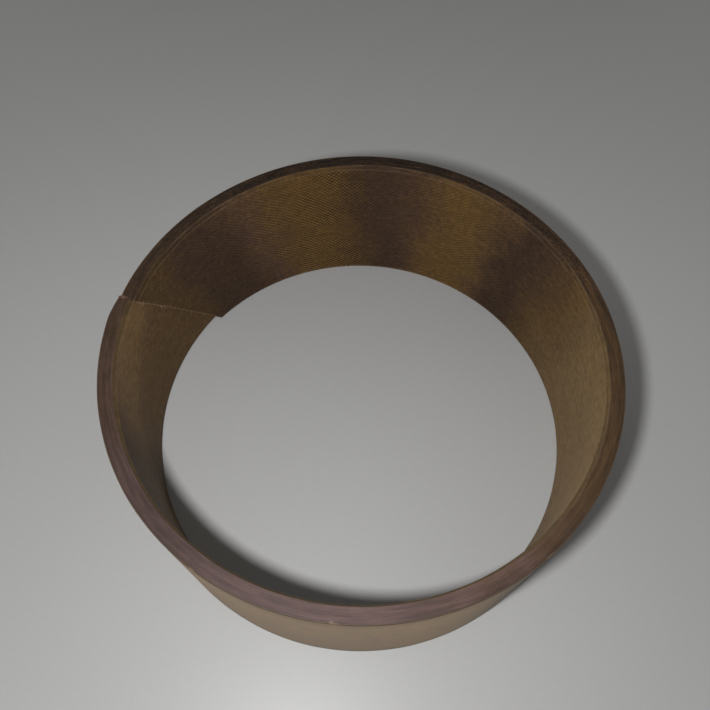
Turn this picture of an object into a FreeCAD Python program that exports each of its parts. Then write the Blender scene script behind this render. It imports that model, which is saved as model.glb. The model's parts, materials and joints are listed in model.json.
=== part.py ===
import FreeCAD, Part
import math
import os

# A split guide ring for a hydraulic piston: one thin-walled band of cloth laminate, sawn
# through once on the slant so that it can be sprung open and snapped into its groove.
# The band bends all the way round when it is spread, most opposite the cut and hardly at
# all beside it. It is divided into equal arcs, each hinged to the next, and together they
# bend as the band does. The only real break in the ring is the slanted cut.
#
# +Z is the ring's axis and z = 0 is its lower end face. The slanted cut is centred on -X,
# so the middle arc, which every other arc hangs from, is centred on +X. Millimetres.

Vector = FreeCAD.Vector

# The ring
OUTER_DIAMETER = 90.0
WALL = 3.0
HEIGHT = 34.5
LEAD_IN_DEPTH = 0.9  # of the chamfer at both ends of the bore, along the axis
LEAD_IN_WIDTH = 0.4  # of the same chamfer, across the wall
OUTER_EDGE_BREAK = 0.22  # 45 degree break on both outer edges

# The slanted saw cut
CUT_AZIMUTH = 180.0  # degrees round the axis, at mid height
CUT_LEAN = 30.0  # degrees between the cut and the axis
CUT_GAP = 0.10  # between the two free ends, which all but touch

# The arcs that stand in for the bending of the band
ARC_COUNT = 11
FLEX_GAP = 0.05  # between neighbouring arcs
SPREAD_DEG = 4.0  # turn of the first hinge each side of the middle arc, fully spread

OUTER_RADIUS = OUTER_DIAMETER / 2
BORE_RADIUS = OUTER_RADIUS - WALL
ARC_SPAN = 360.0 / ARC_COUNT
ARCS_PER_SIDE = (ARC_COUNT - 1) // 2
CUT_REACH = math.degrees(math.asin(HEIGHT / 2 * math.tan(math.radians(CUT_LEAN)) / BORE_RADIUS))
TRIM = 2 * OUTER_DIAMETER  # side of the blocks that trim an arc to its ends
END_MARGIN = 5.0  # how far a sector runs past both end faces


def band():
    """The whole ring before it is cut, turned from its wall section."""
    section = [
        (BORE_RADIUS, LEAD_IN_DEPTH),
        (BORE_RADIUS + LEAD_IN_WIDTH, 0.0),
        (OUTER_RADIUS - OUTER_EDGE_BREAK, 0.0),
        (OUTER_RADIUS, OUTER_EDGE_BREAK),
        (OUTER_RADIUS, HEIGHT - OUTER_EDGE_BREAK),
        (OUTER_RADIUS - OUTER_EDGE_BREAK, HEIGHT),
        (BORE_RADIUS + LEAD_IN_WIDTH, HEIGHT),
        (BORE_RADIUS, HEIGHT - LEAD_IN_DEPTH),
    ]
    corners = [Vector(radius, 0, height) for radius, height in section]
    wire = Part.makePolygon(corners + corners[:1])
    return Part.Face(wire).revolve(Vector(0, 0, 0), Vector(0, 0, 1), 360)


def heading(azimuth):
    """Unit vector that points out from the axis at this azimuth, in degrees."""
    return Vector(math.cos(math.radians(azimuth)), math.sin(math.radians(azimuth)), 0)


def sector(start, end):
    """Prism between two radial planes, each set back by half the gap between arcs."""
    half_span = math.radians((end - start) / 2)
    apex = heading((start + end) / 2) * (FLEX_GAP / 2 / math.sin(half_span))
    apex.z = -END_MARGIN
    corners = [apex, apex + heading(start) * TRIM, apex + heading(end) * TRIM]
    wire = Part.makePolygon(corners + corners[:1])
    return Part.Face(wire).extrude(Vector(0, 0, HEIGHT + 2 * END_MARGIN))


def side_of_cut(side):
    """Block that fills one side of the slanted cut: +1 is the rear side, -1 the front."""
    low_y = CUT_GAP / 2 if side > 0 else -CUT_GAP / 2 - TRIM
    block = Part.makeBox(TRIM, TRIM, TRIM, Vector(-TRIM, low_y, -TRIM / 2))
    block.rotate(Vector(0, 0, 0), Vector(1, 0, 0), CUT_LEAN)
    block.translate(Vector(0, 0, HEIGHT / 2))
    return block


def arcs(ring):
    """Every arc of the ring by name, from the middle arc round to both sides of the cut."""
    pieces = {"middle_arc": ring.common(sector(-ARC_SPAN / 2, ARC_SPAN / 2))}
    for side, name in ((1, "rear"), (-1, "front")):
        for number in range(1, ARCS_PER_SIDE):
            limits = (side * (number - 0.5) * ARC_SPAN, side * (number + 0.5) * ARC_SPAN)
            pieces[f"{name}_arc_{number}"] = ring.common(sector(min(limits), max(limits)))
        limits = (side * (ARCS_PER_SIDE - 0.5) * ARC_SPAN, side * (CUT_AZIMUTH + 2 * CUT_REACH))
        uncut = ring.common(sector(min(limits), max(limits)))
        pieces[f"{name}_cut_end"] = uncut.common(side_of_cut(side))
    return pieces


def hinges():
    """Hinge azimuth from the middle of the middle arc, and its turn against the first's.

    A split band that is spread at its ends bends in proportion to 1 + cos(azimuth). Each
    hinge line lies on the outer surface, so that the arcs only part on the bore side.
    """
    azimuths = [(number + 0.5) * ARC_SPAN for number in range(ARCS_PER_SIDE)]
    bends = [1 + math.cos(math.radians(azimuth)) for azimuth in azimuths]
    return [(azimuth, bend / bends[0]) for azimuth, bend in zip(azimuths, bends)]


def spread_ends():
    """How far the middle of the rear end moves from rest when the ring is fully spread."""
    end = heading(CUT_AZIMUTH) * (OUTER_RADIUS - WALL / 2)
    for azimuth, share in reversed(hinges()):
        pivot = heading(azimuth) * OUTER_RADIUS
        turn = FreeCAD.Rotation(Vector(0, 0, 1), -SPREAD_DEG * share)
        end = pivot + turn.multVec(end - pivot)
    return end


os.makedirs("parts", exist_ok=True)
total_volume = 0.0
for node, shape in arcs(band()).items():
    solid = shape.Solids[0]
    assert len(shape.Solids) == 1 and solid.isValid(), node
    solid.exportStep(f"parts/{node}.step")
    total_volume += solid.Volume
    print(f"{node}: {solid.Volume:.1f} mm3")

print(f"whole ring: {total_volume / 1000:.2f} cm3")
for hinge_azimuth, hinge_share in hinges():
    print(f"hinge at {hinge_azimuth:.3f} degrees turns {hinge_share:.4f} of the first")
print(f"fully spread, the two ends stand {2 * spread_ends().y:.1f} mm apart")
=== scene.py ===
"""Split guide ring: a thin band of cloth laminate, sawn through once on the slant.

The band is built in ten pieces, each from the middle of one arc of the design to the middle of
the next. They meet edge to edge, so only the slanted saw cut shows. Lengths are in metres,
and the millimetre values say so.
"""

import json
import math
import random

import bmesh
import bpy
import numpy as np
from bpy.props import FloatProperty, FloatVectorProperty, IntProperty, PointerProperty
from mathutils import Matrix, Quaternion, Vector

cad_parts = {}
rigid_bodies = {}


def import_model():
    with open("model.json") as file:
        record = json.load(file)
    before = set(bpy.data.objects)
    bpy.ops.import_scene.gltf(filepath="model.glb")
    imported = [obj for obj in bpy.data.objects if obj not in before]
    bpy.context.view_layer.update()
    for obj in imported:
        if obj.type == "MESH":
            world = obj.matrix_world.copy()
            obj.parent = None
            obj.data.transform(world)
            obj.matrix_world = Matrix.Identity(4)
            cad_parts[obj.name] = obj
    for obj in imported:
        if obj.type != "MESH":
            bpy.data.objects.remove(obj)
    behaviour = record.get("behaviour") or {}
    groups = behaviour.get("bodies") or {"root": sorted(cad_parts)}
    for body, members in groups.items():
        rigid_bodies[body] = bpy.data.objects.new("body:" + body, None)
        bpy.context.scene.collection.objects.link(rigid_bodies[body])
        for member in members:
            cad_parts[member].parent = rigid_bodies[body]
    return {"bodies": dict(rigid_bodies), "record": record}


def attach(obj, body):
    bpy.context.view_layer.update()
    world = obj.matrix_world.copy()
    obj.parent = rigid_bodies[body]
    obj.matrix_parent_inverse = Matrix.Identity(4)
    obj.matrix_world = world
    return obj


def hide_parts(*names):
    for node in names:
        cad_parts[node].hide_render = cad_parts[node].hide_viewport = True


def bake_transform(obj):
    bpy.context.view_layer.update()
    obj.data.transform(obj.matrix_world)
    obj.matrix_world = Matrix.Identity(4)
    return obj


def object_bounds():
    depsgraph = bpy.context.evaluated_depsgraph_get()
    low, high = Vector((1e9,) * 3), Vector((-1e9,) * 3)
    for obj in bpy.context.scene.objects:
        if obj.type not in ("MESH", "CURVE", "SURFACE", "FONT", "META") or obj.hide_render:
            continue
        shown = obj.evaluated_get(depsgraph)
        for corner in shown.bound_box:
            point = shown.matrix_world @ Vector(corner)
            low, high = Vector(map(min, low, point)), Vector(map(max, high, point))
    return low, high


bl_info = {
    "name": "Split Guide Ring",
    "version": (1, 0, 0),
    "blender": (4, 5, 0),
    "location": "View3D > Sidebar > Guide Ring",
    "description": "Builds a split guide ring of cloth laminate around its design model",
    "category": "Add Mesh",
}

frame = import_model()
CAD_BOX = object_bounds()

MM = 0.001

# The ring in mm, read from the frame, but for the width of its lead-in
OUTER_RADIUS = (CAD_BOX[1].x - CAD_BOX[0].x) / 2 / MM
HEIGHT = CAD_BOX[1].z / MM
MOUNTS = {mount["name"]: mount for mount in frame["record"]["mounts"]}
BORE_RADIUS = MOUNTS["bore"]["dims"]["r_mm"]
LEAD_IN_DEPTH = (HEIGHT - MOUNTS["bore"]["dims"]["length_mm"]) / 2
LEAD_IN_WIDTH = 0.4
OUTER_EDGE_BREAK = (HEIGHT - MOUNTS["outside"]["dims"]["length_mm"]) / 2
WALL_MIDDLE = (OUTER_RADIUS + BORE_RADIUS) / 2
WALL = OUTER_RADIUS - BORE_RADIUS
LEAD_IN_EDGE = BORE_RADIUS + LEAD_IN_WIDTH

# The arcs of the design, from the middle one round to each side of the cut
ARC_SPAN = 360 / len(frame["bodies"])
SIDES = {"rear": 1, "front": -1}
CHAINS = {
    side: ["middle_arc", *(f"{side}_arc_{n}" for n in range(1, 5)), f"{side}_cut_end"]
    for side in SIDES
}

# The saw cut, centred on -X at mid height, whose two faces all but touch
CUT_LEAN = math.radians(30)
CUT_GAP = 0.05
CUT_RAGGEDNESS = 0.25 * CUT_GAP

# Azimuths in degrees: where each end starts to leave the circle, and where it is furthest off it
FRONT_LEAVES, FRONT_TIP = -126.3, -193.6
REAR_LEAVES, REAR_SETTLES = 100, 160

# The front end's upper outer corner, worn away: its reach along the band and across it in mm,
# how steeply the wear falls off, and how far it goes inward and down
CORNER_LENGTH = 4.2
CORNER_WIDTH = 1.6
CORNER_FALL = 1.3
CORNER_INWARD = 0.5
CORNER_DOWN = 0.12

# A nick in the upper outer edge: azimuth in degrees, then size and depth in mm
NICK_AZIMUTH = -69.0
NICK_LENGTH = 0.34
NICK_WIDTH = 0.24
NICK_INWARD = 0.1
NICK_DOWN = 0.06

# How far the turned surfaces stray from true, in mm
UNEVENNESS = 0.02

# The band's surfaces, numbered as the slots of its materials
OUTSIDE, EDGE, END_FACE, LEAD_IN, BORE, SAWN = range(6)


class RingSizes(bpy.types.PropertyGroup):
    """Sizes of the band that its maker could change."""

    warp_pitch: FloatProperty(
        name="Warp pitch",
        description="Distance between neighbouring yarns that run along the ring's axis",
        default=0.56 * MM,
        unit="LENGTH",
        subtype="DISTANCE",
    )
    weft_pitch: FloatProperty(
        name="Weft pitch",
        description="Distance between neighbouring yarns that run round the ring",
        default=0.45 * MM,
        unit="LENGTH",
        subtype="DISTANCE",
    )
    ply_count: IntProperty(
        name="Plies",
        description="Layers of cloth through the wall",
        default=7,
        min=3,
        max=20,
    )
    ply_relief: FloatProperty(
        name="Ply relief",
        description="Depth of the grooves between plies on the two end faces",
        default=0.005 * MM,
        unit="LENGTH",
        subtype="DISTANCE",
    )
    front_stands_out: FloatProperty(
        name="Front end stands out",
        description="How far the tip of the front end springs out of the circle",
        default=1.3 * MM,
        unit="LENGTH",
        subtype="DISTANCE",
    )
    rear_stands_in: FloatProperty(
        name="Rear end stands in",
        description="How far the upper tip of the rear end sits inside the circle",
        default=0.35 * MM,
        unit="LENGTH",
        subtype="DISTANCE",
    )
    yarn_count: IntProperty(
        name="Frayed yarns",
        description="Loose yarn ends along each side of the saw cut",
        default=60,
        min=0,
        max=400,
    )


class RingColours(bpy.types.PropertyGroup):
    """Colours of the laminate and of its torn yarns."""

    brown: FloatVectorProperty(
        name="Bore, brown bands",
        description="Purple brown cloth, where the bore cuts the yarns that run along the ring",
        default=(0.0555, 0.0305, 0.0205),
        subtype="COLOR",
        min=0,
        max=1,
    )
    olive: FloatVectorProperty(
        name="Bore, olive bands",
        description="Olive gold cloth, where the bore cuts the yarns that run round the ring",
        default=(0.102, 0.056, 0.0160),
        subtype="COLOR",
        min=0,
        max=1,
    )
    pale: FloatVectorProperty(
        name="Bore, worn bands",
        description="Olive grown pale, round the half of the bore on the front side of the cut",
        default=(0.098, 0.063, 0.028),
        subtype="COLOR",
        min=0,
        max=1,
    )
    outside: FloatVectorProperty(
        name="Outside",
        description="Olive tan of the turned outer wall",
        default=(0.172, 0.112, 0.058),
        subtype="COLOR",
        min=0,
        max=1,
    )
    end_brown: FloatVectorProperty(
        name="End faces, brown",
        description="Dark brown of the faced ends",
        default=(0.052, 0.027, 0.0135),
        subtype="COLOR",
        min=0,
        max=1,
    )
    # The plum is partly the ends' own tone and partly a painted sheen, strongest at the front, where
    # the key light's highlight falls on them
    end_plum_and_sheen: FloatVectorProperty(
        name="End faces, plum",
        description="Plum tone of the faced ends, where the resin is thicker",
        default=(0.094, 0.053, 0.047),
        subtype="COLOR",
        min=0,
        max=1,
    )
    # Partly the pale of worn fibre, partly a painted highlight where the lead-in's edges catch the
    # light
    rubbed_highlight: FloatVectorProperty(
        name="Rubbed edges",
        description="Pale fibre where the edges of the lead-in are worn",
        default=(0.235, 0.150, 0.090),
        subtype="COLOR",
        min=0,
        max=1,
    )
    sawn: FloatVectorProperty(
        name="Sawn faces",
        description="Raw laminate where the saw went through",
        default=(0.210, 0.130, 0.075),
        subtype="COLOR",
        min=0,
        max=1,
    )
    yarn: FloatVectorProperty(
        name="Loose yarn",
        description="Cotton that the saw tore out, with a trace of red resin",
        default=(0.300, 0.185, 0.120),
        subtype="COLOR",
        min=0,
        max=1,
    )


class StageLook(bpy.types.PropertyGroup):
    """The floor and the lights."""

    floor: FloatVectorProperty(
        name="Floor",
        description="Pale floor",
        default=(0.54, 0.54, 0.53),
        subtype="COLOR",
        min=0,
        max=1,
    )
    key_power: FloatProperty(
        name="Key light",
        description="Power of the main light, beside the camera",
        default=0.60,
        min=0,
        unit="POWER",
    )
    key_size: FloatProperty(
        name="Key size",
        description="Diameter of the main light, which softens the shadow",
        default=10 * MM,
        unit="LENGTH",
        subtype="DISTANCE",
    )
    surround: FloatProperty(
        name="Surround",
        description="Strength of the soft light from all round",
        default=0.10,
        min=0,
    )
    fill: FloatProperty(
        name="Fill lights",
        description="Strength of each of the two broad lights on the far side",
        default=0.40,
        min=0,
    )


class Tone:
    """A socket of a node tree. Python arithmetic on it adds Math nodes."""

    def __init__(self, finish, socket):
        self.finish = finish
        self.socket = socket

    def math(self, operation, *others):
        values = dict(enumerate([self, *others]))
        return self.finish.node("ShaderNodeMath", {"operation": operation}, values)

    def flipped(self, operation, other):
        return self.finish.node("ShaderNodeMath", {"operation": operation}, {0: other, 1: self})

    def __add__(self, other):
        return self.math("ADD", other)

    def __radd__(self, other):
        return self.flipped("ADD", other)

    def __sub__(self, other):
        return self.math("SUBTRACT", other)

    def __rsub__(self, other):
        return self.flipped("SUBTRACT", other)

    def __mul__(self, other):
        return self.math("MULTIPLY", other)

    def __rmul__(self, other):
        return self.flipped("MULTIPLY", other)

    def __truediv__(self, other):
        return self.math("DIVIDE", other)

    def __abs__(self):
        return self.math("ABSOLUTE")

    def sine(self):
        return self.math("SINE")

    def least(self, other):
        return self.math("MINIMUM", other)

    def most(self, other):
        return self.math("MAXIMUM", other)

    def fraction(self):
        return self.math("FRACT")

    def smooth(self, low, high):
        """0 below low, 1 above high and an S curve between. low may be the larger."""
        settings = {"interpolation_type": "SMOOTHSTEP"}
        values = {"Value": self, "From Min": low, "From Max": high}
        return self.finish.node("ShaderNodeMapRange", settings, values)

    def ramp(self, stops):
        """Grey ramp, eased, through (position, value) stops."""
        colours = [(place, (value, value, value, 1)) for place, value in stops]
        settings = {"interpolation": "EASE", "stops": colours}
        return self.finish.node("ShaderNodeValToRGB", settings, {"Fac": self})


class Finish:
    """A material made of nodes, whose methods give back Tones."""

    # The mix node's sockets share their names between types, so its colour ones go by number
    MIX_FACTOR, MIX_FIRST, MIX_SECOND, MIX_RESULT = 0, 6, 7, 2

    def __init__(self, name):
        self.material = bpy.data.materials.new(name)
        self.material.use_nodes = True
        self.tree = self.material.node_tree
        self.shader = self.tree.nodes["Principled BSDF"]
        self.rest = self.node("ShaderNodeAttribute", {"attribute_name": "rest"}, output="Vector")
        lay = self.node("ShaderNodeAttribute", {"attribute_name": "lay"}, output="Vector")
        parts = [
            self.node("ShaderNodeSeparateXYZ", {}, {"Vector": lay}, output=axis) for axis in "XYZ"
        ]
        self.around, self.depth, self.height = parts
        settings = {"attribute_name": "from_cut"}
        self.from_cut = self.node("ShaderNodeAttribute", settings, output="Fac")

    def node(self, kind, settings=None, values=None, output=0):
        """Adds a node: first its settings, then a value or a link for each socket named."""
        made = self.tree.nodes.new(kind)
        for name, value in (settings or {}).items():
            if name == "stops":
                self.set_stops(made.color_ramp, value)
            elif name == "interpolation":
                made.color_ramp.interpolation = value
            else:
                setattr(made, name, value)
        for socket, value in (values or {}).items():
            self.feed(made.inputs[socket], value)
        return Tone(self, made.outputs[output])

    @staticmethod
    def set_stops(color_ramp, stops):
        elements = color_ramp.elements
        while len(elements) < len(stops):
            elements.new(1)
        for element, (place, colour) in zip(elements, stops):
            element.position = place
            element.color = colour

    def feed(self, socket, value):
        if isinstance(value, Tone):
            self.tree.links.new(value.socket, socket)
        elif hasattr(value, "__len__"):
            wanted = len(socket.default_value)
            socket.default_value = (*value, 1.0)[:wanted]
        else:
            socket.default_value = value

    def mix(self, first, second, factor):
        """First colour where factor is 0, second where it is 1."""
        values = {self.MIX_FACTOR: factor, self.MIX_FIRST: first, self.MIX_SECOND: second}
        settings = {"data_type": "RGBA"}
        return self.node("ShaderNodeMix", settings, values, output=self.MIX_RESULT)

    def shade(self, colour, amount):
        """The colour times a number that varies over the surface."""
        values = {0: colour, "Scale": amount}
        return self.node("ShaderNodeVectorMath", {"operation": "SCALE"}, values)

    def spread(self, around, depth, height):
        """The lay coordinates in millimetres, each divided by its own grain length."""
        values = {
            0: self.around / around,
            1: self.depth / depth,
            2: self.height / height,
        }
        return self.node("ShaderNodeCombineXYZ", {}, values)

    def noise(self, where, size=1.0, detail=2.0, roughness=0.5):
        """Soft noise from 0 to 1 with features about this many millimetres across."""
        values = {"Vector": where, "Scale": 1 / size, "Detail": detail, "Roughness": roughness}
        return self.node("ShaderNodeTexNoise", {"noise_dimensions": "3D"}, values)

    def frayed(self, size, reach, far, near):
        """1 along the saw cut and 0 away from it, between near and far in mm, torn at its border.

        The tears are size mm across, and draw the border in by up to reach.
        """
        torn = self.noise(self.rest, size=size, detail=3, roughness=0.7)
        return (self.from_cut + torn * reach).smooth(far, near)

    def bump(self, height, relief):
        """Normal for a height of 0 to 1 over a relief in metres."""
        values = {"Strength": 1.0, "Distance": relief, "Height": height}
        return self.node("ShaderNodeBump", {}, values)

    def paint(self, colour, roughness, normal, constants):
        """Feeds the shader. Constants go on its own sockets."""
        self.feed(self.shader.inputs["Base Color"], colour)
        self.feed(self.shader.inputs["Roughness"], roughness)
        self.feed(self.shader.inputs["Normal"], normal)
        for name, value in constants.items():
            self.feed(self.shader.inputs[name], value)
        return self.material


def plain_weave(finish, sizes):
    """(height, which) of the cloth: which is 1 where the yarn round the ring is on top."""
    drift = finish.noise(finish.rest, size=9, detail=1) - 0.5
    lift = finish.noise(finish.spread(13, 1, 8), detail=1) - 0.5
    around = finish.around + drift * 1.5
    up = finish.height + lift * 1.5
    round_wave = (around * (math.pi / (sizes.warp_pitch / MM))).sine()
    along_wave = (up * (math.pi / (sizes.weft_pitch / MM))).sine()
    which = (round_wave * along_wave).smooth(-0.45, 0.45)
    over = abs(along_wave)
    under = abs(round_wave)
    return under + (over - under) * which, which


def degrees_round(finish, fan=0.0, wander=22):
    """Azimuth in degrees, made uneven, and fanned out towards the top where fan isn't 0."""
    degrees = finish.around * (180 / math.pi / WALL_MIDDLE)
    drift = finish.noise(finish.rest, size=14, detail=2, roughness=0.45) - 0.5
    low_down = 1 - finish.height / HEIGHT
    return degrees + (degrees - FAN_CENTRE) * low_down * fan + drift * wander


def bands(degrees, stops):
    """A value that changes round the ring through (degrees, value) stops."""
    place = degrees / BAND_SPAN + 0.5
    return place.ramp([(degree / BAND_SPAN + 0.5, value) for degree, value in stops])


def streaks_round(finish, length, width):
    """Fine streaks round the ring: long one way, narrow up the wall and across it."""
    return finish.noise(finish.spread(length, width, width), detail=3, roughness=0.6)


# Cotton stained by red resin
RED_FIBRE = (0.260, 0.105, 0.070)

# Refractive indices of a resin skin and of raw fibre
RESIN_INDEX = 1.5
RAW_INDEX = 1.45

# Degrees that the stops below are laid over, centred on azimuth 0: a full turn and some wander
BAND_SPAN = 400

# Azimuth that the bore's bands fan out from
FAN_CENTRE = 107

# Stops of (azimuth in degrees, value) for what changes round the ring: the bore's olive, its
# lightness (its own tone and a painted sheen), its pale wear and how clear its weave is, then the
# outside, then the end faces' plum (partly a painted sheen), their lightness (their own tone and a
# painted sheen), where their grain is drawn out in streaks and how strong it is, then the
# lead-in's painted light and shade
OLIVE_BANDS = (
    (-200, 0.7), (-186, 0.7), (-172, 0.75), (-150, 0.6), (-136, 0.45), (-110, 0.2),
    (-84, 0.7), (-58, 0.3), (-34, 0.7), (-10, 0.9), (14, 1.0), (40, 0.9), (62, 0.10),
    (84, 1.0), (108, 0.0), (134, 0.95), (156, 0.15), (174, 0.1), (186, 0.7), (200, 0.7),
)
# Painted sheen over the bore's own tone: lighter on the two sides, near -155 and 20 degrees, where
# the bore is seen at a grazing angle, and darker at the back, near 115 degrees
BORE_SHEEN_AND_TONE_BANDS = (
    (-200, 0.3), (-188, 0.4), (-175, 0.8), (-155, 1.05), (-120, 0.6), (-80, 0.4), (-40, 0.6),
    (-10, 0.85), (22, 0.8), (36, 0.45), (50, 0.2), (63, 0.02), (74, 0.5), (92, 0.6),
    (115, 0.22), (140, 0.47), (153, 0.62), (166, 0.03), (200, 0.0),
)
PALE_BANDS = (
    (-200, 0.3), (-180, 0.5), (-150, 0.7), (-110, 0.9), (-60, 1.0), (-20, 1.0), (8, 1.0),
    (30, 0.75), (50, 0.25), (120, 0.0), (160, 0.1), (200, 0.3),
)
CLARITY_BANDS = (
    (-200, 0.12), (-160, 0.12), (-120, 0.3), (-80, 0.4), (-40, 0.3), (0, 0.12), (30, 0.08),
    (50, 0.13), (63, 0.17), (76, 0.38), (88, 0.40), (97, 0.32), (106, 0.42), (114, 0.40),
    (126, 0.95), (140, 0.70), (155, 0.42), (166, 0.30), (182, 0.3), (200, 0.2),
)
OUTSIDE_BANDS = (
    (-200, 0.5), (-160, 0.8), (-120, 0.4), (-90, 0.6), (-66, 0.5), (-40, 0.9), (0, 0.7),
    (40, 0.35), (80, 0.7), (120, 0.4), (160, 0.8), (200, 0.5),
)
# Plum of the end faces: partly their own tone, partly a painted sheen, strongest at the front
PLUM_AND_SHEEN_BANDS = (
    (-200, 0.15), (-176, 0.2), (-150, 0.45), (-110, 0.85), (-66, 1.0), (-40, 0.7),
    (-10, 0.15), (40, 0.0), (110, 0.0), (160, 0.05), (200, 0.15),
)
# Painted sheen over the end faces' own tone: lighter at the front, where the key light's highlight
# falls, and darker at the back
END_SHEEN_AND_TONE_BANDS = (
    (-200, 0.25), (-150, 0.45), (-110, 0.3), (-66, 0.75), (-30, 0.7), (10, 0.6), (40, 0.5),
    (66, 0.2), (100, 0.0), (150, 0.05), (176, 0.25), (200, 0.3),
)
STREAKED_BANDS = ((-200, 0.0), (-60, 0.0), (-20, 1.0), (30, 1.0), (60, 0.2), (200, 0.0))
GRAIN_BANDS = (
    (-200, 0.34), (-170, 0.24), (-60, 0.17), (-20, 0.27), (10, 0.42), (40, 0.70), (60, 1.0),
    (150, 1.0), (168, 0.6), (200, 0.34),
)
# Painted light and shade: the lead-in is painted lighter at the back, where it faces the key light,
# and darker at the front, where it lies in shade
LEAD_IN_LIGHT_AND_SHADE_BANDS = (
    (-200, 0.2), (-170, 0.0), (-60, 0.0), (-10, 0.05), (20, 0.4), (45, 0.9), (140, 1.0),
    (165, 0.9), (200, 0.2),
)


def bore_colour(finish, colours):
    """(colour, light): the cloth's olive and brown bands, and how light the bore is painted round
    the ring: its own tone plus a painted sheen, lighter on its two sides and darker at the back.
    """
    degrees = degrees_round(finish, fan=0.25)
    blotches = finish.noise(finish.rest, size=3, detail=5, roughness=0.62)
    mottle = finish.noise(finish.spread(1.1, 1, 0.8), detail=2, roughness=0.6)
    olive = bands(degrees, OLIVE_BANDS) + (blotches - 0.5) * 0.9 + (mottle - 0.5) * 0.9
    paled = (bands(degrees, PALE_BANDS) + (blotches - 0.5) * 0.8).smooth(-0.1, 1.1)
    cloth = finish.mix(colours.olive, colours.pale, paled)
    colour = finish.mix(colours.brown, cloth, olive.smooth(-0.3, 1.25))
    # Painted sheen: the bore's lightness round the ring, over its own tone
    light = bands(degrees, BORE_SHEEN_AND_TONE_BANDS) * 0.9 + 0.72
    patches = finish.noise(finish.spread(2.2, 1, 1.3), detail=3, roughness=0.6)
    turning = streaks_round(finish, 16, 0.35)
    wide_turning = streaks_round(finish, 24, 1.4)
    uneven = (0.87 + mottle.smooth(0.25, 0.75) * 0.26) * (0.87 + patches.smooth(0.25, 0.75) * 0.26)
    return colour, light * uneven * (0.65 + turning * 0.40 + wide_turning * 0.30)


def bore_finish(sizes, colours):
    """Turned bore: plain weave under resin, in broad olive and brown bands."""
    finish = Finish("laminate_bore")
    height, which = plain_weave(finish, sizes)
    colour, light = bore_colour(finish, colours)
    clear_patch = finish.noise(finish.rest, size=10, detail=2).smooth(0.30, 0.62)
    fine_patch = finish.noise(finish.rest, size=2.5, detail=2).smooth(0.2, 0.8)
    clarity = bands(degrees_round(finish), CLARITY_BANDS) * (0.60 + clear_patch * 0.40)
    low_down = 1 - finish.height / HEIGHT
    clarity = clarity * (0.55 + fine_patch * 0.9) * (0.75 + low_down * 0.6)
    weave = (which - 0.5) * 1.3 + (height - 0.62) * 0.7
    amount = light * (1 + weave * clarity)
    # Painted highlight, partly wear: the bore is pale in patches along its edges next to the
    # lead-ins
    from_edge = (HEIGHT - LEAD_IN_DEPTH - finish.height).least(finish.height - LEAD_IN_DEPTH)
    edge_patches = finish.noise(finish.spread(5, 1, 1), detail=3, roughness=0.6).smooth(0.42, 0.62)
    paled = from_edge.smooth(0.22, 0.02) * edge_patches
    frayed = finish.frayed(0.45, reach=0.35, far=0.40, near=0.24)
    colour = finish.mix(finish.shade(colour, amount), colours.rubbed_highlight, paled * 0.5)
    colour = finish.mix(colour, colours.yarn, frayed * 0.32)
    roughness = 0.62 - height * clarity * 0.12
    normal = finish.bump(height * (0.3 + clarity * 0.7) + frayed, 0.03 * MM)
    constants = {"IOR": RESIN_INDEX, "Specular IOR Level": 0.12, "Diffuse Roughness": 1.0}
    return finish.paint(colour, roughness, normal, constants)


def outside_finish(sizes, colours):
    """Turned outer wall: olive tan, smooth, with the weave only just showing."""
    finish = Finish("laminate_outside")
    height, which = plain_weave(finish, sizes)
    degrees = degrees_round(finish)
    blotches = finish.noise(finish.rest, size=4, detail=5, roughness=0.6)
    clear_patch = finish.noise(finish.rest, size=12, detail=2).smooth(0.35, 0.65)
    turning = streaks_round(finish, 40, 0.25)
    tan = bands(degrees, OUTSIDE_BANDS) + (blotches - 0.5) * 0.8
    colour = finish.mix(colours.brown, colours.outside, tan.smooth(-0.9, 0.9))
    weave = ((which - 0.5) * 0.45 + (height - 0.62) * 0.3) * (0.35 + clear_patch * 0.65)
    mottle = finish.noise(finish.spread(1.4, 1, 1.4), detail=3, roughness=0.6)
    amount = (1 + weave) * (0.78 + blotches * 0.44) * (0.80 + turning * 0.40)
    amount = amount * (0.88 + mottle.smooth(0.25, 0.75) * 0.24)
    # Darker towards the top and bottom edges of the outer wall
    near_the_ends = finish.height.least(HEIGHT - finish.height).smooth(5.0, 0.2)
    amount = amount * (1 - near_the_ends * 0.26)
    frayed = finish.frayed(0.45, reach=0.35, far=0.42, near=0.22)
    colour = finish.mix(finish.shade(colour, amount), colours.yarn, frayed * 0.35)
    roughness = 0.46 + blotches * 0.12
    normal = finish.bump(height * 0.5 + turning * 0.5, 0.016 * MM)
    constants = {"IOR": RESIN_INDEX, "Specular IOR Level": 0.4, "Diffuse Roughness": 1.0}
    return finish.paint(colour, roughness, normal, constants)


def ply_lines(finish, sizes):
    """1 in the resin lines between plies and 0 inside each ply, seen on a faced end."""
    pitch = WALL / sizes.ply_count
    wander = finish.noise(finish.spread(9, 4, 50), detail=2) - 0.5
    ply = (finish.depth - BORE_RADIUS) / pitch + wander * 1.3
    strength = finish.noise(finish.spread(5, 0.45, 50), detail=2).smooth(0.38, 0.66)
    return abs(ply.fraction() - 0.5).smooth(0.32, 0.5) * strength


def nick_mask(finish):
    """1 in the nick in the upper outer edge, with a ragged border."""
    along = (finish.around - math.radians(NICK_AZIMUTH) * WALL_MIDDLE) / NICK_LENGTH
    inward = (OUTER_RADIUS - 0.25 - finish.depth) / NICK_WIDTH
    upper = finish.height.smooth(HEIGHT - 1, HEIGHT - 0.8)
    ragged = finish.noise(finish.rest, size=0.2, detail=2) - 0.5
    return (along * along + inward * inward + ragged).smooth(1.0, 0.5) * upper


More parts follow.
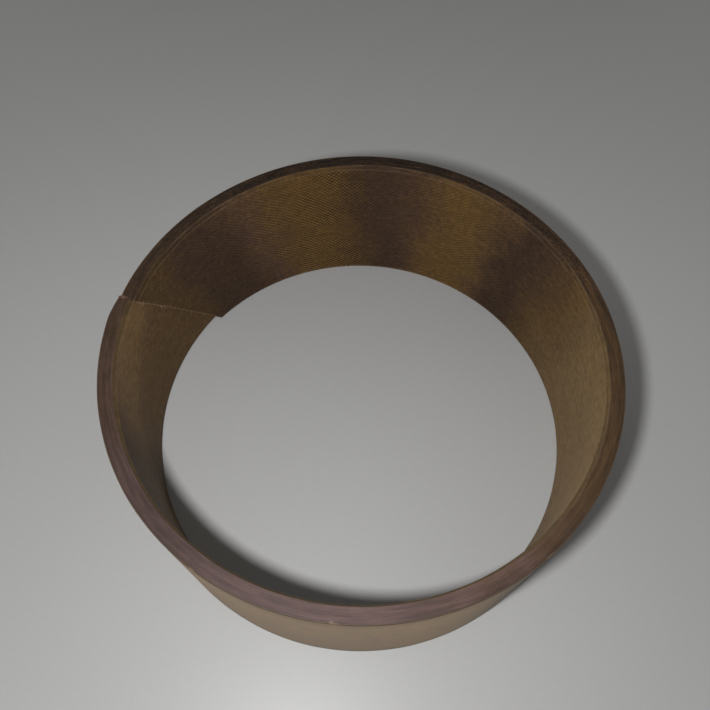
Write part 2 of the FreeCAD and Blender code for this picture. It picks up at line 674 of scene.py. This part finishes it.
def end_finish(sizes, colours):
    """Faced end: brown to plum, with faint ply lines and the cut ends of yarns. Its plum and its
    lighter front are partly a painted sheen.
    """
    finish = Finish("laminate_end_face")
    lines = ply_lines(finish, sizes)
    degrees = degrees_round(finish, wander=14)
    streaks = finish.noise(finish.spread(2.6, 0.13, 50), detail=3, roughness=0.65)
    scuffs = finish.noise(finish.spread(6, 0.5, 50), detail=3, roughness=0.6).smooth(0.25, 0.75)
    yarn_ends = finish.noise(finish.spread(0.35, 0.2, 50), detail=2, roughness=0.6)
    blotches = finish.noise(finish.rest, size=5, detail=4, roughness=0.6)
    # Plum, partly a painted sheen at the front
    plum = (bands(degrees, PLUM_AND_SHEEN_BANDS) + (blotches - 0.5) * 0.7).smooth(0, 1)
    colour = finish.mix(colours.end_brown, colours.end_plum_and_sheen, plum)
    streaked = bands(degrees, STREAKED_BANDS)
    grain = bands(degrees, GRAIN_BANDS) * 4
    spots = (yarn_ends - 0.5) * (1 - streaked * 0.8)
    fleck = (streaks - 0.5 + spots) * grain
    golden = bands(degrees, END_SHEEN_AND_TONE_BANDS) * (1 - plum) * 0.55 + fleck.most(0) * 0.25
    colour = finish.mix(colour, colours.olive, golden)
    # Painted sheen: the end faces are painted lighter at the front and darker at the back, over
    # their own tone
    light = bands(degrees, END_SHEEN_AND_TONE_BANDS) * 0.83 + 0.42
    speckle = spots * 1.1 * (1.25 - plum) * grain
    across = (OUTER_RADIUS - finish.depth) / WALL
    middle = 1 + (across.smooth(0.1, 0.5) - 0.6) * 0.3 * streaked
    light = light * middle * (1 + (scuffs - 0.5) * (0.42 + grain * 0.16))
    streaky = (1 + (streaks - 0.5) * (0.35 + grain * 0.42)).most(0.3)
    amount = light * (1 - lines * 0.16) * (0.7 + blotches * 0.6) * streaky
    colour = finish.shade(colour, amount * (1 + speckle).most(0.3))
    # Painted highlight, partly wear: the end face is pale in patches along its inner edge
    inner = (finish.depth - LEAD_IN_EDGE).smooth(0.45, 0.0)
    edge_patches = finish.noise(finish.spread(6, 0.3, 50), detail=3, roughness=0.6).smooth(0.35, 0.65)
    colour = finish.mix(colour, colours.rubbed_highlight, inner * edge_patches * (1 - plum) * 0.22)
    outer = (OUTER_RADIUS - OUTER_EDGE_BREAK - finish.depth).smooth(0.2, 0.0)
    colour = finish.shade(colour, 1 - outer * 0.25)
    frayed = finish.frayed(0.5, reach=1.2, far=0.95, near=0.5)
    outer_part = across.smooth(0.75, 0.25)
    colour = finish.mix(colour, RED_FIBRE, frayed * (0.08 + outer_part * 0.32))
    colour = finish.mix(colour, colours.yarn, nick_mask(finish) * 0.3)
    roughness = 0.50 + streaks * 0.14
    normal = finish.bump(streaks * 0.5 + yarn_ends * 0.3 - lines * 0.3, 0.012 * MM)
    constants = {"IOR": RESIN_INDEX, "Specular IOR Level": 0.32, "Diffuse Roughness": 0.4}
    return finish.paint(colour, roughness, normal, constants)


def lead_in_finish(colours):
    """Lead-in of the bore: the bore's colours, painted lighter at the back and darker and paler at
    the front as light and shade, with both its edges pale in places, partly wear and partly a
    painted highlight.
    """
    finish = Finish("laminate_lead_in")
    colour, light = bore_colour(finish, colours)
    streaks = streaks_round(finish, 3, 0.1)
    # Painted light and shade: lighter at the back, darker and paler at the front
    at_back = bands(degrees_round(finish), LEAD_IN_LIGHT_AND_SHADE_BANDS)
    amount = light * (0.85 + streaks * 0.5) * (0.48 + at_back * 0.52)
    colour = finish.mix(colour, colours.pale, (1 - at_back) * 0.7)
    across = finish.height.least(HEIGHT - finish.height) / LEAD_IN_DEPTH
    # Painted highlight, partly wear: both edges of the lead-in are pale in patches, most at the back
    edge_patches = finish.noise(finish.spread(5, 1, 1), detail=3, roughness=0.6)
    upper = across.smooth(0.30, 0.02) * edge_patches.smooth(0.38, 0.62) * at_back
    lower = across.smooth(0.76, 0.98) * edge_patches.smooth(0.60, 0.40) * (0.3 + at_back * 0.7)
    frayed = finish.frayed(0.45, reach=0.4, far=0.45, near=0.25)
    colour = finish.mix(finish.shade(colour, amount), colours.rubbed_highlight, upper * 0.55 + lower * 0.6)
    colour = finish.mix(colour, colours.yarn, frayed * 0.25)
    normal = finish.bump(streaks, 0.02 * MM)
    constants = {"IOR": RESIN_INDEX, "Specular IOR Level": 0.2, "Diffuse Roughness": 1.0}
    return finish.paint(colour, 0.6, normal, constants)


def edge_finish(colours):
    """Broken outer edges: dark brown, worn pale in places and frayed at the cut."""
    finish = Finish("laminate_edge")
    streaks = streaks_round(finish, 1.8, 0.1)
    edge_patches = finish.noise(finish.rest, size=4, detail=3).smooth(0.60, 0.74)
    colour = finish.mix(colours.end_brown, colours.outside, edge_patches * 0.5 + 0.15)
    colour = finish.shade(colour, 0.7 + streaks * 0.6)
    frayed = finish.frayed(0.6, reach=1.5, far=1.6, near=1.0)
    colour = finish.mix(colour, RED_FIBRE, frayed * 0.5)
    colour = finish.mix(colour, colours.yarn, nick_mask(finish) * 0.5)
    constants = {"IOR": RESIN_INDEX, "Diffuse Roughness": 0.8}
    return finish.paint(colour, 0.6, finish.bump(streaks, 0.03 * MM), constants)


def sawn_finish(sizes, colours):
    """Sawn end: rough, with every ply and its torn yarns showing."""
    finish = Finish("laminate_sawn")
    lines = ply_lines(finish, sizes)
    torn = finish.noise(finish.spread(0.3, 0.12, 0.30), detail=3, roughness=0.7)
    scores = finish.noise(finish.spread(0.2, 2.5, 0.2), detail=2)
    colour = finish.mix(colours.sawn, colours.brown, lines * 0.7)
    colour = finish.mix(colour, colours.yarn, torn.smooth(0.55, 0.7) * 0.6)
    normal = finish.bump(torn * 0.7 + scores * 0.3 - lines * 0.4, 0.06 * MM)
    constants = {"IOR": RAW_INDEX, "Diffuse Roughness": 1.0}
    return finish.paint(finish.shade(colour, 0.7 + torn * 0.6), 0.8, normal, constants)


def yarn_finish(colours):
    """Loose cotton yarn, redder in places."""
    finish = Finish("cotton_yarn")
    where = finish.node("ShaderNodeTexCoord", {}, output="Object")
    twist = finish.noise(where, size=0.2 * MM, detail=2)
    red = finish.noise(where, size=2 * MM, detail=1).smooth(0.45, 0.65)
    colour = finish.mix(colours.yarn, RED_FIBRE, red * 0.7)
    colour = finish.shade(colour, 0.7 + twist * 0.6)
    constants = {"Sheen Weight": 0.3, "Diffuse Roughness": 1.0}
    return finish.paint(colour, 0.85, finish.bump(twist, 0.02 * MM), constants)


def ring_finishes():
    """The band's materials, in the order of the surface numbers."""
    scene = bpy.context.scene
    sizes, colours = scene.ring_sizes, scene.ring_colours
    made = {
        OUTSIDE: outside_finish(sizes, colours),
        EDGE: edge_finish(colours),
        END_FACE: end_finish(sizes, colours),
        LEAD_IN: lead_in_finish(colours),
        BORE: bore_finish(sizes, colours),
        SAWN: sawn_finish(sizes, colours),
    }
    return [made[surface] for surface in sorted(made)]


def add_to_scene(name, data):
    thing = bpy.data.objects.new(name, data)
    bpy.context.scene.collection.objects.link(thing)
    return thing


# Rows of vertices along each stretch of the wall section
WALL_ROWS = 96
FACE_ROWS = 36
EDGE_ROWS = 3
LEAD_IN_ROWS = 6

# Columns of vertices round each piece, and round the two pieces that end at the cut
COLUMNS = 66
CUT_COLUMNS = 120

# How far a broken outer edge swells beyond a flat bevel, as a share of its width
EDGE_SWELL = 0.25

# Creases sharper than this stay sharp
SHARP_ANGLE = math.radians(28)


def wall_section():
    """Corners of the wall section in mm, and the surface and rows of the stretch after each.

    It runs up the outside, in over the top, down the bore and out under the bottom.
    """
    return (
        (OUTER_RADIUS, OUTER_EDGE_BREAK, OUTSIDE, WALL_ROWS),
        (OUTER_RADIUS, HEIGHT - OUTER_EDGE_BREAK, EDGE, EDGE_ROWS),
        (OUTER_RADIUS - OUTER_EDGE_BREAK, HEIGHT, END_FACE, FACE_ROWS),
        (LEAD_IN_EDGE, HEIGHT, LEAD_IN, LEAD_IN_ROWS),
        (BORE_RADIUS, HEIGHT - LEAD_IN_DEPTH, BORE, WALL_ROWS),
        (BORE_RADIUS, LEAD_IN_DEPTH, LEAD_IN, LEAD_IN_ROWS),
        (LEAD_IN_EDGE, 0.0, END_FACE, FACE_ROWS),
        (OUTER_RADIUS - OUTER_EDGE_BREAK, 0.0, EDGE, EDGE_ROWS),
    )


def section_points():
    """(radius, height, surface) arrays of the whole wall section, closed by its first point."""
    corners = wall_section()
    radii, heights, surfaces = [], [], []
    for number, (radius, height, surface, rows) in enumerate(corners):
        next_radius, next_height = corners[(number + 1) % len(corners)][:2]
        for row in range(rows):
            share = row / rows
            bulge = 0.0
            if surface == EDGE:
                bulge = EDGE_SWELL * OUTER_EDGE_BREAK * math.sin(math.pi * share)
            outward = 1 if height > HEIGHT / 2 else -1
            radii.append(radius + (next_radius - radius) * share + bulge)
            heights.append(height + (next_height - height) * share + bulge * outward)
            surfaces.append(surface)
    return np.array(radii), np.array(heights), np.array(surfaces)


def waves(azimuth, height, seed, count=5):
    """Smooth unevenness from -1 to 1, the same each time, over azimuth and height."""
    draw = random.Random(seed)
    total = np.zeros(np.broadcast(azimuth, height).shape)
    for _ in range(count):
        turns = draw.randint(3, 40)
        rise = draw.uniform(-0.35, 0.35)
        total += np.sin(turns * azimuth + rise * height + draw.uniform(0, 2 * math.pi))
    return total / count


def cut_azimuth(side, radius, height):
    """Azimuth in radians of one face of the saw cut, reached from the rear or the front."""
    across = math.tan(CUT_LEAN) * (height - HEIGHT / 2)
    ragged = CUT_RAGGEDNESS * waves(radius * 2.1, height * 1.3, seed=29 + side)
    gap = CUT_GAP / 2 / math.cos(CUT_LEAN) + ragged
    return side * math.pi + np.arcsin((across - side * gap) / radius)


def spring_out(side, azimuth, height, sizes):
    """How far out of the circle the band springs near its two ends, in mm.

    The front end rises out of the circle in its last sixth. The rear end sits inside it,
    most at the top, where its tip is long and thin.
    """
    if side < 0:
        start = math.radians(FRONT_LEAVES)
        share = np.clip((start - azimuth) / (start - math.radians(FRONT_TIP)), 0, None)
        return sizes.front_stands_out / MM * share**2
    start = math.radians(REAR_LEAVES)
    share = np.clip((azimuth - start) / math.radians(REAR_SETTLES - REAR_LEAVES), 0, 1)
    eased = share * share * (3 - 2 * share)
    return -sizes.rear_stands_in / MM * eased * (0.35 + 0.65 * height / HEIGHT)


def broken_corner(radius, height, from_cut):
    """1 at the front end's upper outer corner, which is worn away, falling to 0 round it."""
    along = from_cut / CORNER_LENGTH
    down = (HEIGHT - height) / CORNER_WIDTH
    inward = (OUTER_RADIUS - radius) / CORNER_WIDTH
    return np.clip(1 - np.sqrt(along**2 + down**2 + inward**2), 0, 1) ** CORNER_FALL


def nick(azimuth, radius, height):
    """1 in the middle of the nick in the upper outer edge, falling to 0 round it."""
    along = (azimuth - math.radians(NICK_AZIMUTH)) * OUTER_RADIUS / (2 * NICK_LENGTH)
    reach = np.hypot(OUTER_RADIUS - radius, HEIGHT - height) / (3 * NICK_WIDTH)
    return np.clip(1 - np.hypot(along, reach), 0, 1)


def ply_grooves(radius, azimuth, sizes):
    """0 inside a ply and 1 in the groove between two, on an end face."""
    pitch = WALL / sizes.ply_count
    wander = 0.35 * waves(azimuth, radius, seed=5, count=7)
    place = (radius - BORE_RADIUS) / pitch + wander
    return np.abs((place % 1) - 0.5) ** 3 * 8


def band_grid(side_name, number, sizes):
    """Positions, lay coordinates and distances from the cut of one piece's vertices."""
    side = SIDES[side_name]
    radii, heights, surfaces = section_points()
    radius, height = radii[None, :], heights[None, :]
    first = math.radians(ARC_SPAN * (number - 1)) * side
    last_piece = number == len(CHAINS[side_name]) - 1
    cut = cut_azimuth(side, radius, height)
    if last_piece:
        share = np.linspace(0, 1, CUT_COLUMNS + 1)[:, None]
        azimuth = first + (cut - first) * share
    else:
        share = np.linspace(0, 1, COLUMNS + 1)[:, None]
        last = math.radians(ARC_SPAN * number) * side
        azimuth = first + (last - first) * share + 0 * radius
    from_cut = np.abs(cut - azimuth) * radius * math.cos(CUT_LEAN)
    on_face = (surfaces == END_FACE)[None, :]
    sink = sizes.ply_relief / MM * ply_grooves(radius, azimuth, sizes) * on_face
    upper = height > HEIGHT / 2
    moved_height = height + np.where(upper, -sink, sink)
    uneven = UNEVENNESS * waves(azimuth, height, seed=11)
    moved_radius = radius + uneven + spring_out(side, azimuth, height, sizes)
    if side < 0:
        lost = broken_corner(radius, height, from_cut)
        dent = nick(azimuth, radius, height)
        moved_radius -= CORNER_INWARD * lost + NICK_INWARD * dent
        moved_height -= CORNER_DOWN * lost + NICK_DOWN * dent
    position = np.stack(
        [moved_radius * np.cos(azimuth), moved_radius * np.sin(azimuth), moved_height], -1
    )
    full_radius = radius + 0 * azimuth
    full_height = height + 0 * azimuth
    lay = np.stack([azimuth * WALL_MIDDLE, full_radius, full_height], -1)
    rest = np.stack([full_radius * np.cos(azimuth), full_radius * np.sin(azimuth), full_height], -1)
    return position, lay, rest, from_cut, surfaces


def band_piece(side_name, number, sizes, finishes):
    """One closed piece of the band, from the middle of one arc to the middle of the next."""
    position, lay, rest, from_cut, surfaces = band_grid(side_name, number, sizes)
    columns, rows = position.shape[:2]
    forward = SIDES[side_name] > 0
    faces, slots = [], []
    for column in range(columns - 1):
        for row in range(rows):
            after = (row + 1) % rows
            quad = [
                column * rows + row,
                (column + 1) * rows + row,
                (column + 1) * rows + after,
                column * rows + after,
            ]
            faces.append(quad if forward else quad[::-1])
            slots.append(int(surfaces[row]))
    first_cap = list(range(rows))
    last_cap = [(columns - 1) * rows + row for row in range(rows)]
    faces.append(first_cap if forward else first_cap[::-1])
    faces.append(last_cap[::-1] if forward else last_cap)
    slots += [SAWN, SAWN]
    mesh = bpy.data.meshes.new(f"band_{side_name}_{number}")
    mesh.from_pydata((position.reshape(-1, 3) * MM).tolist(), [], faces)
    mesh.update()
    for name, kind, values in (
        ("lay", "FLOAT_VECTOR", lay),
        ("rest", "FLOAT_VECTOR", rest),
        ("from_cut", "FLOAT", from_cut),
    ):
        made = mesh.attributes.new(name, kind, "POINT")
        field = "vector" if kind == "FLOAT_VECTOR" else "value"
        made.data.foreach_set(field, values.astype(np.float32).ravel())
    for finish in finishes:
        mesh.materials.append(finish)
    mesh.polygons.foreach_set("material_index", slots)
    mesh.polygons.foreach_set("use_smooth", [True] * len(faces))
    mesh.set_sharp_from_angle(angle=SHARP_ANGLE)
    return add_to_scene(mesh.name, mesh)


class RING_OT_band(bpy.types.Operator):
    """Builds the band in ten pieces"""

    bl_idname = "guide_ring.band"
    bl_label = "Build the band"

    def execute(self, context):
        sizes = context.scene.ring_sizes
        finishes = ring_finishes()
        for side_name, chain in CHAINS.items():
            for number in range(1, len(chain)):
                piece = band_piece(side_name, number, sizes, finishes)
                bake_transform(piece)
                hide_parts(chain[number])
                if side_name == "rear" and number == 1:
                    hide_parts(chain[0])
        return {"FINISHED"}


# Loose yarns: the share of them on the rear end, one in how many sits at the outer corner, and
# the least and the greatest thickness in mm
REAR_YARN_SHARE = 0.7
CORNER_YARN_EVERY = 5
YARN_THICKNESS = (0.04, 0.08)

# How much thinner than its root a strand's tip is, as a share
STRAND_TAPER = 0.75


def edge_point(side, radius, height, sizes):
    """A point of one end's edge along the saw cut, in mm, where the band really lies."""
    azimuth = float(cut_azimuth(side, radius, height))
    sprung = radius + float(spring_out(side, azimuth, height, sizes))
    return Vector((sprung * math.cos(azimuth), sprung * math.sin(azimuth), height))


def add_strand(shape, points, thickness):
    """A tapered strand of four sides through the points, in mm, closed at both ends."""
    rings = []
    for number, point in enumerate(points):
        ahead = points[min(number + 1, len(points) - 1)] - points[max(number - 1, 0)]
        side = ahead.orthogonal().normalized()
        lift = ahead.cross(side).normalized()
        radius = thickness / 2 * (1 - STRAND_TAPER * number / (len(points) - 1))
        rings.append([
            shape.verts.new((point + (side * math.cos(turn) + lift * math.sin(turn)) * radius) * MM)
            for turn in (0, math.pi / 2, math.pi, 1.5 * math.pi)
        ])
    for ring, after in zip(rings, rings[1:]):
        for corner in range(4):
            beside = (corner + 1) % 4
            shape.faces.new((ring[corner], ring[beside], after[beside], after[corner]))
    shape.faces.new(rings[0][::-1])
    shape.faces.new(rings[-1])


def yarn_fringe(side, count, sizes, seed):
    """Mesh of the yarns torn loose from one end: mostly on the bore, some at the outer corner.

    Each goes from its root along run, arches by away and drifts by sway, in mm.
    """
    draw = random.Random(seed)
    shape = bmesh.new()
    for number in range(count):
        at_corner = number % CORNER_YARN_EVERY == 0
        if at_corner:
            radius = OUTER_RADIUS - draw.uniform(0.0, 1.6)
            height = HEIGHT - 0.03
        else:
            radius = BORE_RADIUS + 0.02
            height = draw.uniform(LEAD_IN_DEPTH, HEIGHT - LEAD_IN_DEPTH)
        root = edge_point(side, radius, height, sizes)
        outward = Vector((root.x, root.y, 0)).normalized()
        round_ring = Vector((-outward.y, outward.x, 0)) * side
        along_cut = Vector((0, 0, math.cos(CUT_LEAN))) + round_ring * side * -math.sin(CUT_LEAN)
        if at_corner:
            away = Vector((0, 0, 1)) * draw.uniform(0.02, 0.12) + outward * draw.uniform(-0.1, 0.1)
            run = round_ring * draw.uniform(-0.25, 0.25) + outward * draw.uniform(-0.5, 0.3)
        else:
            away = outward * -draw.uniform(0.02, 0.08)
            run = along_cut * draw.uniform(-0.9, 0.9) + round_ring * draw.uniform(-0.05, 0.15)
        sway = Vector([draw.uniform(-0.06, 0.06) for _ in range(3)])
        points = [
            root - round_ring * 0.05 + (run * share + away * math.sin(share * 2.4)) + sway * share**2
            for share in (0, 0.25, 0.5, 0.75, 1)
        ]
        add_strand(shape, points, draw.uniform(*YARN_THICKNESS))
    mesh = bpy.data.meshes.new("frayed_yarns_rear" if side > 0 else "frayed_yarns_front")
    bmesh.ops.recalc_face_normals(shape, faces=shape.faces)
    shape.to_mesh(mesh)
    shape.free()
    mesh.polygons.foreach_set("use_smooth", [True] * len(mesh.polygons))
    return mesh


class RING_OT_yarns(bpy.types.Operator):
    """Adds the loose yarn ends along both sides of the saw cut"""

    bl_idname = "guide_ring.yarns"
    bl_label = "Add frayed yarns"

    def execute(self, context):
        sizes = context.scene.ring_sizes
        finish = yarn_finish(context.scene.ring_colours)
        for side_name, share in (("rear", REAR_YARN_SHARE), ("front", 1 - REAR_YARN_SHARE)):
            side = SIDES[side_name]
            mesh = yarn_fringe(side, round(sizes.yarn_count * share), sizes, seed=40 + side)
            mesh.materials.append(finish)
            piece = add_to_scene(mesh.name, mesh)
            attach(piece, CHAINS[side_name][-1])
        return {"FINISHED"}


# The camera and the main light, in mm, in the frame turned so that the camera is at -Y
CAMERA_TURN = 25.2
CAMERA_PLACE = (0.0, -58.5, 140.4)
CAMERA_AIM = (-1.5, 17.5, 0.0)
CAMERA_ROLL = 0.62
CAMERA_LENS = 35.5
SENSOR_WIDTH = 36.0
KEY_PLACE = (-17.7, -66.0, 144.3)

# Where the two broad fill lights shine from, in the same frame, and how broad they are
FILL_PLACES = ((-300.0, 220.0, 130.0), (300.0, 220.0, 130.0))
FILL_BREADTH = math.radians(60)

# In metres
FLOOR_SIDE = 6.0
NEAREST_SEEN = 0.01

# Faintly warm white of the light from all round
SURROUND_COLOUR = (1.0, 0.98, 0.96, 1.0)


def turned(place):
    """A point of the camera's frame, in mm, as one of the ring's frame, in metres."""
    return Matrix.Rotation(math.radians(CAMERA_TURN), 3, "Z") @ Vector(place) * MM


def aim(thing, place, target, roll=0.0):
    """Puts a light or a camera in place and points it at the target."""
    thing.rotation_mode = "QUATERNION"
    thing.location = turned(place)
    look = (turned(target) - turned(place)).to_track_quat("-Z", "Y")
    thing.rotation_quaternion = look @ Quaternion((0, 0, 1), math.radians(roll))


def floor_material(colour):
    finish = Finish("pale_floor")
    where = finish.node("ShaderNodeTexCoord", {}, output="Object")
    grain = finish.noise(where, size=1.2 * MM, detail=3, roughness=0.6)
    tone = finish.shade(colour, 0.97 + grain * 0.06)
    normal = finish.bump(grain, 0.004 * MM)
    return finish.paint(tone, 0.38 + grain * 0.08, normal, {"IOR": 1.45})


class RING_OT_stage(bpy.types.Operator):
    """Adds the floor, the lights and the camera"""

    bl_idname = "guide_ring.stage"
    bl_label = "Set the stage"

    def execute(self, context):
        scene = context.scene
        look = scene.stage_look
        mesh = bpy.data.meshes.new("floor")
        shape = bmesh.new()
        bmesh.ops.create_grid(shape, x_segments=8, y_segments=8, size=FLOOR_SIDE / 2)
        shape.to_mesh(mesh)
        shape.free()
        mesh.materials.append(floor_material(look.floor))
        add_to_scene("floor", mesh)

        lens = bpy.data.cameras.new("camera")
        lens.lens = CAMERA_LENS
        lens.sensor_width = SENSOR_WIDTH
        lens.clip_start = NEAREST_SEEN
        camera = add_to_scene("camera", lens)
        aim(camera, CAMERA_PLACE, CAMERA_AIM, CAMERA_ROLL)
        scene.camera = camera

        key = bpy.data.lights.new("key_light", "POINT")
        key.shadow_soft_size = look.key_size / 2
        key.energy = look.key_power
        add_to_scene("key_light", key).location = turned(KEY_PLACE)

        for number, place in enumerate(FILL_PLACES):
            fill = bpy.data.lights.new(f"fill_light_{number}", "SUN")
            fill.energy = look.fill
            fill.angle = FILL_BREADTH
            aim(add_to_scene(fill.name, fill), place, (0, 0, 0))

        world = bpy.data.worlds.new("studio")
        world.use_nodes = True
        background = world.node_tree.nodes["Background"]
        background.inputs["Color"].default_value = SURROUND_COLOUR
        background.inputs["Strength"].default_value = look.surround
        scene.world = world
        scene.view_settings.view_transform = "Standard"
        return {"FINISHED"}


class RING_PT_sidebar(bpy.types.Panel):
    """Lists the steps and the values they read"""

    bl_label = "Guide Ring"
    bl_idname = "RING_PT_sidebar"
    bl_space_type = "VIEW_3D"
    bl_region_type = "UI"
    bl_category = "Guide Ring"

    def draw(self, context):
        for step in STEPS:
            self.layout.operator(step.bl_idname)
        for group_name in GROUPS:
            group = getattr(context.scene, group_name)
            box = self.layout.box()
            for name in group.bl_rna.properties.keys():
                if name not in ("rna_type", "name"):
                    box.prop(group, name)


STEPS = (RING_OT_stage, RING_OT_band, RING_OT_yarns)
GROUPS = {"ring_sizes": RingSizes, "ring_colours": RingColours, "stage_look": StageLook}


def register():
    for group in GROUPS.values():
        bpy.utils.register_class(group)
    for name, group in GROUPS.items():
        setattr(bpy.types.Scene, name, PointerProperty(type=group))
    for step in (*STEPS, RING_PT_sidebar):
        bpy.utils.register_class(step)


def unregister():
    for step in (RING_PT_sidebar, *reversed(STEPS)):
        bpy.utils.unregister_class(step)
    for name in GROUPS:
        delattr(bpy.types.Scene, name)
    for group in reversed(GROUPS.values()):
        bpy.utils.unregister_class(group)


def main():
    register()
    bpy.ops.guide_ring.stage()
    bpy.ops.guide_ring.band()
    bpy.ops.guide_ring.yarns()


if __name__ == "__main__":
    main()
